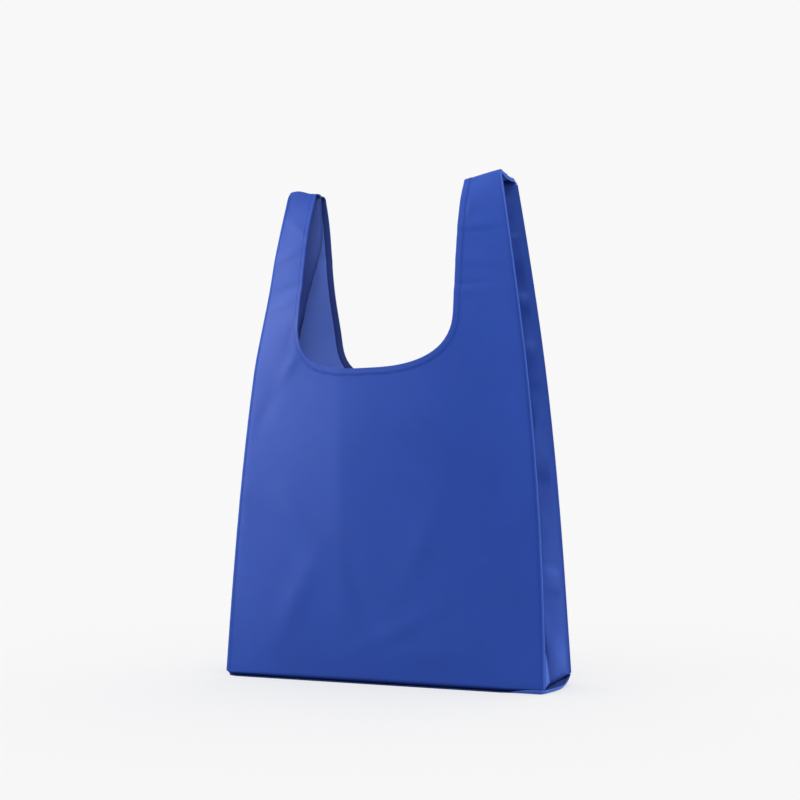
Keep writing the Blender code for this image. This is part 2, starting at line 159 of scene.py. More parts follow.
# Divisions of the visual cloth
BODY_ROWS = 60
NECK_ROWS = 54
STRAP_ROWS = 54
CORNER_STEPS = 6
CROWN_ROWS = 6
SIDE_COLUMNS = 14
NECK_COLUMNS = 44
GUSSET_ROWS = 190
GUSSET_COLUMNS = 9
BASE_ROWS = 25
BASE_COLUMNS = 40
# Shares from the outer edge to the hem line, closer together near both
SIDE_SHARES = [(1 - math.cos(math.pi * k / SIDE_COLUMNS)) / 2 for k in range(SIDE_COLUMNS + 1)]
# Shares across the hem band, from its inner line to the cut-out's edge
HEM_SHARES = [0.0, CLOTH / HEM_WIDTH, 0.2, 0.35, 0.6, 0.85, 1.0]


def curve_through(*values):
    """A smooth curve over the share 0 to 1 that meets these evenly spaced values."""
    shares = np.linspace(0.0, 1.0, len(values))
    return np.poly1d(np.polyfit(shares, values, len(values) - 1))


HALF_WIDTH_AT = curve_through(0.200, 0.1915, 0.1735, 0.142)
HALF_DEPTH_AT = {
    1: curve_through(0.050, 0.039, 0.0345, 0.028),
    -1: curve_through(0.050, 0.039, 0.029, 0.015),
}
MIDDLE_HALF_AT = curve_through(0.050, 0.065, 0.071)
CREASE_AT = {
    1: curve_through(0.007, 0.028, 0.038, 0.042),
    -1: curve_through(0.007, 0.0215, 0.0265, 0.0435, 0.0435),
}
# Half depth of a loop's inner edge, at thirds of its height above the neck's sides
LOOP_HALF_AT = {
    1: curve_through(0.0645, 0.0547, 0.0447, 0.0262),
    -1: curve_through(0.0610, 0.0414, 0.0303, 0.0141),
}
# How far each crown stands above its even height, from the outer edge to the inner edge
CROWN_RISE_AT = {
    1: curve_through(0.0010, -0.0003, -0.0022, -0.0041),
    -1: curve_through(0.0030, 0.0035, 0.0010, -0.0006),
}


def eased(share):
    share = min(max(share, 0.0), 1.0)
    return share * share * (3.0 - 2.0 * share)


def half_width(z):
    return HALF_WIDTH_AT(z / HEIGHT)


def side_half_depth(side, z):
    return HALF_DEPTH_AT[side](z / HEIGHT)


def sway(side, x, z):
    """How far a handle has drifted to the right and to the front at this point."""
    across = SWAY[side] * max(0.0, (z - NECK_SIDE) / (HEIGHT - NECK_SIDE)) ** 2
    if side > 0:
        return across, 0.0
    outwards = (-x - NECK_HALF) / (half_width(z) - NECK_HALF)
    across += LEFT_DRAW_IN * eased((z - DRAW_START) / DRAW_RISE) * eased(outwards)
    lean = eased((z - LEAN_START) / LEAN_RISE) * eased((-x - 0.05) / 0.04)
    return across, -LEFT_LEAN * lean


def even_half_depth(x, z):
    """How far the panel's cloth is from the plane between front and back, below the straps."""
    across = min(1.0, abs(x) / half_width(z))
    right = eased((x / half_width(z) + 1) / 2)
    at_side = right * side_half_depth(1, z) + (1 - right) * side_half_depth(-1, z)
    swell = MIDDLE_HALF_AT(z / NECK_HEIGHT) - at_side
    return at_side + swell * (1 - across ** SWELL_SQUARENESS[1 if x > 0 else -1])


def waist_bend(side):
    """How sharply the loop's inner edge would turn in where the strap starts."""
    step = 0.001
    below = even_half_depth(side * NECK_HALF, NECK_SIDE) - even_half_depth(
        side * NECK_HALF, NECK_SIDE - step
    )
    above = LOOP_HALF_AT[side](step / (LOOP_TOP - NECK_SIDE)) - LOOP_HALF_AT[side](0.0)
    return (above - below) / step


def waist_rounding(side, share, z):
    """The correction that rounds that turn off, at a share of the way to the inner edge."""
    off = abs(z - NECK_SIDE) / WAIST_SOFTNESS
    bell = math.exp(-off * off / 2) / math.sqrt(2 * math.pi)
    tail = bell - off * math.erfc(off / math.sqrt(2)) / 2
    return WAIST_BEND[side] * WAIST_SOFTNESS * tail * share


WAIST_BEND = {side: waist_bend(side) for side in (-1, 1)}


def strap_share(x, z):
    """0 at the side seam, 1 from the strap's inner edge inwards."""
    outer, power = half_width(z), SWELL_SQUARENESS[1 if x > 0 else -1]
    reach = 1 - (NECK_HALF / outer) ** power
    return min(1.0, (1 - min(1.0, abs(x) / outer) ** power) / reach)


def panel_half_depth(x, z):
    """Distance of the panel's cloth from the plane between front and back."""
    side = 1 if x > 0 else -1
    start = LOOP_HALF_AT[side](0.0) - even_half_depth(side * NECK_HALF, NECK_SIDE)
    near = eased((z - NECK_SIDE + 0.080) / 0.080)
    share = strap_share(x, z)
    middle = eased(abs(x) / NECK_HALF)
    shift = start * near * share * middle
    return even_half_depth(x, z) + shift + waist_rounding(side, share * middle, z)


def shares_along(points):
    steps = np.linalg.norm(np.diff(np.array(points), axis=0), axis=1)
    along = np.concatenate([[0.0], np.cumsum(steps)])
    return along / along[-1]


def strap_outer_path(side):
    """Half depth and height of a strap's outer edge, from the neck's level to the crown."""
    rises = np.linspace(NECK_SIDE, HEIGHT - CROWN_RADIUS, STRAP_ROWS + 1)
    return over_crown([(side_half_depth(side, z), z) for z in rises])


def quarter_turn():
    """Angles in even steps through a quarter turn, without its start."""
    return [math.radians(90) * step / CORNER_STEPS for step in range(1, CORNER_STEPS + 1)]


def over_crown(path, sag=CROWN_SAG):
    """The path carried on round the crown's corner and level to its middle."""
    corner = path[-1][0] - CROWN_RADIUS
    low = path[-1][1]
    for turn in quarter_turn():
        out, up = CROWN_RADIUS * math.cos(turn), CROWN_RADIUS * math.sin(turn)
        path.append((corner + out, low + up))
    for step in range(1, CROWN_ROWS + 1):
        share = step / CROWN_ROWS
        path.append((corner * (1 - share), low + CROWN_RADIUS - sag * eased(2 * share)))
    return path


def strap_inner_path(side):
    """Half depth and height of a strap's inner edge, over the same rows."""
    shares = np.linspace(0.0, 1.0, STRAP_ROWS + 1)
    rise = LOOP_TOP - NECK_SIDE
    path = [(LOOP_HALF_AT[side](share), NECK_SIDE + rise * share) for share in shares]
    path = [(depth + waist_rounding(side, 1.0, z), z) for depth, z in path]
    return over_crown(path, CROWN_SAG if side > 0 else LEFT_INNER_SAG)


def strap_paths():
    """The outer edges and the inner edges of the straps, by side."""
    outer = {side: strap_outer_path(side) for side in (-1, 1)}
    return outer, {side: strap_inner_path(side) for side in (-1, 1)}


def hem_start(path, index):
    """The share of a strap's row at which its hem band starts."""
    return 1 - HEM_WIDTH / (half_width(path[index][1]) - NECK_HALF)


def neck_edge(share):
    """x and z on the neck's edge, from the left strap at share -1 to the right at 1."""
    angle = math.radians(90) * (1 - abs(share))
    power = 2 / NECK_SQUARENESS[1 if share > 0 else -1]
    reach, drop = math.cos(angle) ** power, math.sin(angle) ** power
    return np.array([math.copysign(NECK_HALF * reach, share), NECK_SIDE - NECK_RISE * drop])


def neck_lines():
    """Evenly spaced points of the neck's edge, and of the hem line beside it."""
    fine = np.array([neck_edge(share) for share in np.linspace(-1.0, 1.0, 601)])
    along = shares_along(fine)
    wanted = np.linspace(0.0, 1.0, NECK_COLUMNS + 1)
    edge = np.array([[np.interp(share, along, column) for column in fine.T] for share in wanted])
    ahead = np.gradient(edge, axis=0)
    ahead /= np.linalg.norm(ahead, axis=1)[:, None]
    away = np.stack([ahead[:, 1], -ahead[:, 0]], axis=1)
    away[0], away[-1] = (-1.0, 0.0), (1.0, 0.0)
    return edge, edge + HEM_WIDTH * away


def strap_point(side, outer, inner, index, share):
    """A point of a strap row, at a share from its outer edge to its inner edge."""
    outer_depth, outer_z = outer[index]
    inner_depth, inner_z = inner[index]
    outer_x = half_width(outer_z)
    narrowing = eased((inner_z - NECK_SIDE) / (LOOP_HEIGHT - NECK_SIDE))
    inner_x = NECK_HALF + (NECK_TOP_HALF - NECK_HALF) * narrowing
    x = outer_x + (inner_x - outer_x) * share
    edge_share = 1 - (inner_x / outer_x) ** SWELL_SQUARENESS[side]
    bend = (1 - (x / outer_x) ** SWELL_SQUARENESS[side]) / edge_share
    depth = outer_depth + (inner_depth - outer_depth) * bend
    z = outer_z + (inner_z - outer_z) * share
    z += CROWN_RISE_AT[side](share) * eased((z - LOOP_TOP + 0.030) / 0.034)
    return placed(side, x, -depth, z)


def strap_lip(side, outer, index):
    """The seam lip's edge beside a strap row."""
    before, after = outer[index - 1], outer[min(index + 1, len(outer) - 1)]
    along = np.array([-(after[0] - before[0]), after[1] - before[1]])
    along /= np.linalg.norm(along)
    depth, z = outer[index]
    over = eased((index - STRAP_ROWS) / CORNER_STEPS)
    lip = SEAM_LIP * (1 - 0.8 * over)
    flare = lip * math.sin(LIP_FLARE)
    x = half_width(z) + lip * math.cos(LIP_FLARE)
    z_lip = z + flare * along[0] - CROWN_TURN_DOWN * over
    return placed(side, x, -depth - flare * along[1], z_lip)


def placed(side, x, y, z):
    """A point of one side's strap or gusset, with its handle's drift."""
    across, forward = sway(side, side * x, z)
    return side * x + across, y + forward, z


def front_point(x, z):
    """A point of the front panel below the straps."""
    across, forward = sway(math.copysign(1, x), x, z)
    return x + across, forward - panel_half_depth(x, z), z


def edge_pull_in(z):
    """How far the rounded bottom corner draws the panel's side edge in at this height."""
    below = min(max(0.0, CORNER_RADIUS + CLOTH - z), CORNER_RADIUS)
    return CORNER_RADIUS - math.sqrt(CORNER_RADIUS**2 - below**2)


def body_x(z, hem_half):
    """x of every column at this height, left side edge to right side edge."""
    outer = half_width(z) - edge_pull_in(z)
    right = [outer + (hem_half - outer) * share for share in SIDE_SHARES]
    middle = list(np.linspace(-hem_half, hem_half, NECK_COLUMNS + 1))[1:-1]
    return [-x for x in right] + middle + right[::-1]


def with_lips(row):
    out = SEAM_LIP * math.cos(LIP_FLARE)
    forward = SEAM_LIP * math.sin(LIP_FLARE)
    (lx, ly, lz), (rx, ry, rz) = row[0], row[-1]
    return [(lx - out, ly - forward, lz)] + row + [(rx + out, ry - forward, rz)]


def panel_lattice():
    """Rows of points of the front panel up to the hem line, with None where it is cut away."""
    hem_half = NECK_HALF + HEM_WIDTH
    low = LAYER + CLOTH / 2
    centre = low + FOLD_RADIUS
    flat = BASE_HALF_DEPTH - FOLD_RADIUS
    lattice = []
    profile = [(flat - TURN_UNDER, low), (flat - TURN_UNDER / 2, low)]
    for turn in [0.0] + quarter_turn()[:-1]:
        out, up = FOLD_RADIUS * math.sin(turn), FOLD_RADIUS * math.cos(turn)
        profile.append((flat + out, centre - up))
    for half_depth, z in profile:
        row = [(x, -half_depth, z) for x in body_x(z, hem_half)]
        lattice.append([row[0]] + row + [row[-1]])
    start = NECK_HEIGHT - 2 * NECK_RISE
    foot = [centre, centre + CORNER_RADIUS / 3, centre + 2 * CORNER_RADIUS / 3]
    for z in foot + list(np.linspace(centre + CORNER_RADIUS, start, BODY_ROWS + 1)):
        lattice.append(with_lips([front_point(x, z) for x in body_x(z, hem_half)]))
    hem_line = neck_lines()[1]
    first_middle = SIDE_COLUMNS + 1
    for step in range(1, NECK_ROWS + 1):
        level = step / NECK_ROWS
        z_side = start + (NECK_SIDE - start) * level
        row = []
        for index, x in enumerate(body_x(z_side, hem_half)):
            z = z_side
            middle = index - first_middle
            if 0 <= middle < NECK_COLUMNS - 1:
                x_hem, z_hem = hem_line[middle + 1]
                x = x + (x_hem - x) * level
                z = start + (z_hem - start) * level
            row.append(front_point(x, z))
        lattice.append(with_lips(row))
    outer, inner = strap_paths()
    for index in range(1, len(outer[1])):
        halves = {}
        for side in (-1, 1):
            reach = hem_start(outer[side], index)
            halves[side] = [strap_lip(side, outer[side], index)]
            for share in SIDE_SHARES:
                point = strap_point(side, outer[side], inner[side], index, share * reach)
                halves[side].append(point)
        lattice.append(halves[-1] + [None] * (NECK_COLUMNS - 1) + halves[1][::-1])
    return lattice


def hem_lattice():
    """Rows of the hem band, each from the hem line to the edge, left crown to right crown."""
    outer, inner = strap_paths()

    def strap_band(side, index):
        reach = hem_start(outer[side], index)
        shares = [reach + (1 - reach) * share for share in HEM_SHARES]
        return [strap_point(side, outer[side], inner[side], index, share) for share in shares]

    count = len(outer[1])
    rows = [strap_band(-1, index) for index in range(count - 1, 0, -1)]
    for edge, line in zip(*neck_lines()):
        rows.append([front_point(*(line + (edge - line) * share)) for share in HEM_SHARES])
    return rows + [strap_band(1, index) for index in range(1, count)]


def each_point(rows, move):
    """The rows with every point moved that isn't cut away."""
    return [[None if point is None else move(*point) for point in row] for row in rows]


def turned_back(rows):
    """The front panel's points turned into the back panel's."""

    def turn(x, y, z):
        return x, 2 * sway(math.copysign(1, x), x, z)[1] - y, z

    return each_point(rows, turn)


def lapped_lattice(rows):
    """The back panel's rows with its crown set under the front's and lapped past it."""
    back = turned_back(rows)
    for step in range(1, CROWN_ROWS + 1):
        back[step - CROWN_ROWS - 1] = lowered(back[step - CROWN_ROWS - 1], step / CROWN_ROWS)
    return back + [lowered(rows[-2 - step], 1.0) for step in range(CROWN_ROWS // 2)]


def lowered(row, share):
    """A lattice row set down by its layers, with the hem line's columns two layers thick."""
    hem_columns = (SIDE_COLUMNS + 1, len(row) - SIDE_COLUMNS - 2)
    down = []
    for column, point in enumerate(row):
        drop = (HEM_LAYER if column in hem_columns else LAYER) * share
        down.append(point and (point[0], point[1], point[2] - drop))
    return down


def lapped_hem(rows):
    """The back hem's rows, set under the front's and lapped past it at both crowns."""
    back = turned_back(rows)

    def set_down(row, share):
        return [(x, y, z - HEM_LAYER * share) for x, y, z in row]

    for step in range(1, CROWN_ROWS + 1):
        for index in (CROWN_ROWS - step, step - CROWN_ROWS - 1):
            back[index] = set_down(back[index], step / CROWN_ROWS)
    laps = range(1, CROWN_ROWS // 2 + 1)
    left = [set_down(rows[step], 1.0) for step in laps]
    right = [set_down(rows[-1 - step], 1.0) for step in laps]
    return left[::-1] + back + right


def gusset_row(side, z):
    """A gusset's cloth at one height: lip, seam, fold to the crease, and the same behind."""
    width, depth = half_width(z), side_half_depth(side, z)
    seam_x = width + LAYER * math.sin(LIP_FLARE)
    seam_y = depth - LAYER * math.cos(LIP_FLARE)
    crease_x = width - CREASE_AT[side](z / HEIGHT)
    if side < 0:
        crease_x -= LEFT_TUCK * math.exp(-(((z - LEFT_TUCK_AT) / 0.045) ** 2))
    lip_x = seam_x + SEAM_LIP * math.cos(LIP_FLARE)
    lip_y = seam_y + SEAM_LIP * math.sin(LIP_FLARE)
    half = [(lip_x, lip_y), (seam_x, seam_y)]
    for step in range(1, GUSSET_COLUMNS + 1):
        share = step / (GUSSET_COLUMNS + 1)
        bow = GUSSET_BOW * math.sin(math.pi * share)
        half.append((seam_x + (crease_x - seam_x) * share, seam_y * (1 - share) + bow))
    front = [placed(side, x, -y, z) for x, y in half]
    back = [placed(side, x, y, z) for x, y in half]
    return front + [placed(side, crease_x, 0.0, z)] + back[::-1]


def gusset_lattice(side, crown):
    """Gusset rows from the foot turned in on the base up to the crown's underside."""
    edge = gusset_row(side, GUSSET_LIFT)
    flat = LAYER + CLOTH / 2
    rows = []
    for inward, share, z in (
        (0.012, 0.60, flat),
        (0.009, 0.60, flat),
        (0.006, 0.60, flat),
        (0.0040, 0.68, (3 * flat + GUSSET_LIFT) / 4),
        (0.0024, 0.80, (flat + GUSSET_LIFT) / 2),
    ):
        row = [(x - side * inward, y * share, z) for x, y, _ in edge[1:-1]]
        rows.append([row[0]] + row + [row[-1]])
    top = HEIGHT - CROWN_RADIUS
    rows += [gusset_row(side, z) for z in np.linspace(GUSSET_LIFT, top, GUSSET_ROWS + 1)]
    clear = CLOTH / 2 + SEWN_GAP / 3
    last = rows[-1]
    fitted = last[:2]
    for x, y, z in last[2:-2]:
        hit = crown.ray_cast(Vector((x, y, z - 0.012)), Vector((0, 0, 1)))[0]
        hit = hit or crown.ray_cast(Vector((x + side * 0.002, y, z - 0.012)), Vector((0, 0, 1)))[0]
        fitted.append((x, y, hit.z - clear if hit else fitted[-1][2]))
    rows[-1] = fitted + last[-2:]
    return rows


def rim_lift(x, y, end):
    """How far the base's cloth curls up beside its outline, round the right end's corners too."""
    across = abs(x) - (end - CORNER_RADIUS)
    ahead = abs(y) - (BASE_REACH - CORNER_RADIUS)
    beyond = math.hypot(max(across, 0.0), max(ahead, 0.0)) + min(max(across, ahead), 0.0)
    curled = min(max(RIM_RADIUS - CORNER_RADIUS + beyond, 0.0), RIM_RADIUS)
    lift = RIM_RADIUS - math.sqrt(RIM_RADIUS**2 - curled**2)
    if x < 0:
        lift *= 1 - (y / BASE_REACH) ** 6
    return lift * eased((abs(x) - 0.150) / 0.040)


def base_lattice():
    """Base rows from front to back, with both ends curled up into a rim."""
    straight = BASE_REACH - CORNER_RADIUS
    corner = [straight + CORNER_RADIUS * math.sin(turn) for turn in quarter_turn()]
    even = list(np.linspace(-straight, straight, BASE_ROWS))
    rows = []
    for y in [-y for y in reversed(corner)] + even + corner:
        beyond = min(max(0.0, abs(y) - straight), CORNER_RADIUS)
        pull = CORNER_RADIUS - math.sqrt(CORNER_RADIUS**2 - beyond**2)
        end = BASE_HALF_WIDTH + RIM_BOW * (1 - (y / BASE_REACH) ** 2)
        flat_end = end - pull - RIM_RADIUS
        xs = [flat_end * k / BASE_COLUMNS for k in range(1, BASE_COLUMNS + 1)]
        xs += [flat_end + RIM_RADIUS * math.sin(turn) for turn in quarter_turn()]
        shorter = 1 - LEFT_ROUNDING * (y / BASE_REACH) ** 8
        xs = [-x * shorter for x in reversed(xs)] + [0.0] + xs
        lifts = [CLOTH / 2 + rim_lift(x, y, end) for x in xs]
        rows.append([(x, y, z + corner_lift(x, y, z)) for x, z in zip(xs, lifts)])
    return rows


def in_metres(*creases):
    """Creases given in millimetres and degrees, turned into metres and radians."""
    made = []
    for across, height, angle, *sizes in creases:
        sizes = [size / 1000 for size in sizes]
        made.append((across / 1000, height / 1000, math.radians(angle), *sizes))
    return made


# Soft creases: place across (from front to back on a gusset), height, angle, half length,
# half width, depth
FRONT_CREASES = in_metres(
    (122, 530, 4, 22, 5.5, 1.2),
    (123, 521, 3, 24, 2.6, -1.3),
    (124, 486, -6, 26, 6, 1.3),
    (118, 458.5, 2, 20, 2.4, -1.4),
    (118, 450, 4, 24, 5, 1),
    (113, 552, 84, 14, 3.5, 1.4),
    (128, 510, 12, 20, 6, -0.8),
    (-116, 548, -35, 18, 5, 1.6),
    (-124, 515, 18, 24, 7, 1.6),
    (-122, 470, 6, 26, 5, -1.3),
    (-126, 452, 10, 24, 6, 1.3),
    (-112, 415, 70, 26, 6, -1),
    (-118, 372, 48, 34, 8, 1.4),
    (-150, 330, 62, 40, 11, -1.6),
    (-100, 190, -52, 60, 11, 1.4),
    (-150, 185, -40, 60, 15, -2.2),
    (-105, 95, 62, 60, 15, 1.8),
    (-20, 110, -70, 60, 12, -1),
    (60, 160, 60, 60, 14, 1),
    (110, 240, 78, 70, 16, -1),
    (60, 300, -40, 40, 11, 0.8),
    (118, 372, -48, 40, 9, 1),
    (20, 60, 25, 60, 10, 0.9),
)
BACK_CREASES = in_metres(
    (20, 200, 90, 140, 30, 1.4),
    (-120, 520, -12, 30, 5, 1.2),
    (130, 470, 14, 34, 6, -1.2),
    (110, 360, -50, 50, 10, 1.3),
    (-100, 150, 55, 70, 14, 1.4),
    (90, 120, -60, 70, 14, -1.3),
    (-50, 260, -35, 50, 12, 1),
)
GUSSET_CREASES = in_metres(
    (14, 570, 14, 14, 5, 1),
    (14, 549, -6, 14, 6, -0.8),
    (16, 526, 10, 16, 3.6, 1.3),
    (18, 484, 4, 18, 13, -1.2),
    (20, 454, -8, 16, 4.6, 1.5),
    (20, 436, -12, 18, 6, -0.9),
    (22, 395, 10, 18, 7, 1),
    (24, 345, -10, 18, 9, -0.8),
    (24, 300, 70, 50, 6, 0.9),
    (22, 240, -16, 20, 7, -1),
    (26, 130, -20, 22, 5, 1),
    (28, 105, -14, 22, 6, -0.9),
    (-20, 420, 16, 20, 5, 1),
    (-24, 220, -18, 22, 6, 1),
)


def crease_depth(creases, across, z):
    """Summed depth of the soft creases at a point."""
    total = 0.0
    for centre, height, turn, half_length, half_breadth, depth in creases:
        dx, dz = across - centre, z - height
        along = dx * math.cos(turn) + dz * math.sin(turn)
        off = -dx * math.sin(turn) + dz * math.cos(turn)
        total += depth * math.exp(-((along / half_length) ** 2) - (off / half_breadth) ** 2)
    return total


def front_fold(x, z):
    """The long soft fold down the front: the cloth left of it is turned a little to the left."""
    left = (FOLD_X - x) / (FOLD_X + half_width(z))
    if left <= 0:
        return 0.0
    return -4 * FOLD_DEPTH * left * (1 - left) * math.exp(-(((z - FOLD_Z) / FOLD_REACH) ** 4))


def panel_ripple(face, x, z):
    """How far the panel's cloth stands out from its even curve, at a point of one face."""
    from_side = half_width(z) - abs(x)
    free = eased(from_side / 0.014) * eased((z - 0.012) / 0.030)
    free *= eased((HEIGHT - 0.014 - z) / 0.030)
    swell = noise.noise(Vector((x * 7.0, z * 5.0, face * 3.1)))
    drift = noise.noise(Vector((x * 17.0, z * 12.0, face * 7.7)))
    depth = settings().ripple_depth * (swell + 0.35 * drift)
    depth += crease_depth(FRONT_CREASES if face < 0 else BACK_CREASES, x, z)
    if face < 0:
        depth += front_fold(x, z)
    pucker = settings().pucker_depth * noise.noise(Vector((x * 60.0, z * 150.0, face * 5.0)))
    seam = math.exp(-((from_side / 0.007) ** 2)) * eased((z - 0.010) / 0.010)
    seam *= eased((HEIGHT - 0.012 - z) / 0.010)
    return depth * free + pucker * seam


def corner_lift(x, y, z):
    """How far the limp corner at the back right stands off the floor."""
    near_end = eased((x - 0.150) / 0.050) * eased((y + 0.010) / 0.055)
    return CORNER_LIFT * near_end * (1 - eased(z / 0.080))


def rippled_gusset(rows, side):
    """The gusset's rows with its free cloth moved sideways by its ripple."""
    moved = []
    for row in rows:
        line = list(row)
        for column in range(2, len(row) - 2):
            x, y, z = row[column]
            free = math.sin(math.pi * (column - 1) / (len(row) - 3))
            free *= eased((z - 0.010) / 0.030) * eased((HEIGHT - 0.012 - z) / 0.030)
            swell = noise.noise(Vector((y * 16.0, z * 9.0, side * 9.3)))
            depth = settings().ripple_depth * swell * 0.8
            depth += 1.8 * crease_depth(GUSSET_CREASES, y, z)
            line[column] = (x + side * depth * free, y, z)
        moved.append([(x, y, z + corner_lift(x, y, z)) for x, y, z in line])
    return moved


def cloth_uv(rows):
    """Flat cloth coordinates in metres for each point: across the row, and up its column."""
    flat = {}
    for i, row in enumerate(rows):
        for j, point in enumerate(row):
            if point is None:
                continue
            left, below = row[j - 1] if j else None, rows[i - 1][j] if i else None
            u = flat[i, j - 1][0] + math.dist(point, left) if left else point[0]
            v = flat[i - 1, j][1] + math.dist(point, below) if below else point[2]
            flat[i, j] = (flat[i - 1, j][0] if below else u, v)
    return flat


def add_patch(work, rows, seam, material=lambda i: 0, hem=False):
    """Adds a grid of points to the cloth being made, with its layers, finish and flat map.

    seam, a function of row and column, says how much painted shade a point gets (below 0, painted
    highlight), and material is a function of the row. A hem has two layers, but one along its
    first column.
    """
    weights = work.verts.layers.deform.verify()
    # The seam attribute carries painted shade, painted highlight and the gussets' mottle
    sewn = work.verts.layers.float.get("seam") or work.verts.layers.float.new("seam")
    uv = work.loops.layers.uv.get("cloth") or work.loops.layers.uv.new("cloth")
    flat = cloth_uv(rows)
    corners = {}
    for i, j in flat:
        corners[i, j] = vertex = work.verts.new(rows[i][j])
        vertex[weights][0] = 1.0 if hem and j else SINGLE
        vertex[sewn] = seam(i, j)
    for i, j in flat:
        cells = ((i, j), (i, j + 1), (i + 1, j + 1), (i + 1, j))
        if all(cell in flat for cell in cells):
            face = work.faces.new([corners[cell] for cell in cells])
            face.material_index = material(i)
            face.smooth = True
            for loop, cell in zip(face.loops, cells):
                loop[uv].uv = flat[cell]


def new_object(name, data):
    item = bpy.data.objects.new(name, data)
    bpy.context.scene.collection.objects.link(item)
    return item


def make_cloth(name, node, slot, outward, flat, area, *patches):
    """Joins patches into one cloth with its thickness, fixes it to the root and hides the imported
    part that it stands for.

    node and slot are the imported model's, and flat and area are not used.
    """
    work = bmesh.new()
    for patch in patches:
        add_patch(work, *patch)
    bmesh.ops.remove_doubles(work, verts=work.verts, dist=2e-6)
    bmesh.ops.recalc_face_normals(work, faces=work.faces)
    work.normal_update()
    if sum(face.normal.dot(outward) * face.calc_area() for face in work.faces) < 0:
        bmesh.ops.reverse_faces(work, faces=work.faces)
    cloth = new_object(name, bpy.data.meshes.new(name))
    work.to_mesh(cloth.data)
    work.free()
    for material in cloth_materials("panel" if slot == "panel_cloth" else "gusset"):
        cloth.data.materials.append(material)
    cloth.vertex_groups.new(name="hem")
    solidify = cloth.modifiers.new("thickness", "SOLIDIFY")
    solidify.thickness = HEM_THICKNESS
    solidify.offset = 0.0
    solidify.vertex_group = "hem"
    solidify.material_offset = 1
    settled(cloth)
    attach(cloth, "root")
    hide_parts(node)


def settled(item):
    """The object with its modifiers worked into a plain mesh."""
    graph = bpy.context.evaluated_depsgraph_get()
    plain = bpy.data.meshes.new_from_object(item.evaluated_get(graph), depsgraph=graph)
    item.modifiers.clear()
    old = item.data
    item.data = plain
    bpy.data.meshes.remove(old)
    plain.name = item.name


def settings():
    return bpy.context.scene.shopping_bag


def fill(tree, node, inputs):
    """Sets a node's inputs, or links them to what feeds them, by name or position."""
    for key, value in inputs.items():
        if isinstance(value, bpy.types.NodeSocket):
            tree.links.new(value, node.inputs[key])
        else:
            node.inputs[key].default_value = value
    return node


def add_node(tree, kind, inputs=None, **values):
    """Adds a node with its plain properties and its inputs."""
    node = tree.nodes.new(kind)
    for name, value in values.items():
        setattr(node, name, value)
    return fill(tree, node, inputs or {})


def maths(tree, operation, *values):
    inputs = dict(enumerate(values))
    return add_node(tree, "ShaderNodeMath", inputs, operation=operation).outputs[0]


def vector_maths(tree, operation, inputs):
    return add_node(tree, "ShaderNodeVectorMath", inputs, operation=operation).outputs[0]


def spread(tree, value, low, high):
    """A map of a 0 to 1 value onto the range low to high."""
    return maths(tree, "MULTIPLY_ADD", value, high - low, low)


def noise_at(tree, vector, scale, detail):
    inputs = {"Vector": vector, "Scale": scale, "Detail": detail, "Roughness": 0.55}
    return add_node(tree, "ShaderNodeTexNoise", inputs).outputs["Fac"]


def bumped(tree, height, strength, distance):
    inputs = {"Strength": strength, "Distance": distance, "Height": height}
    return add_node(tree, "ShaderNodeBump", inputs).outputs[0]


def new_material(name):
    material = bpy.data.materials.new(name)
    material.use_nodes = True
    return material, material.node_tree, material.node_tree.nodes["Principled BSDF"]


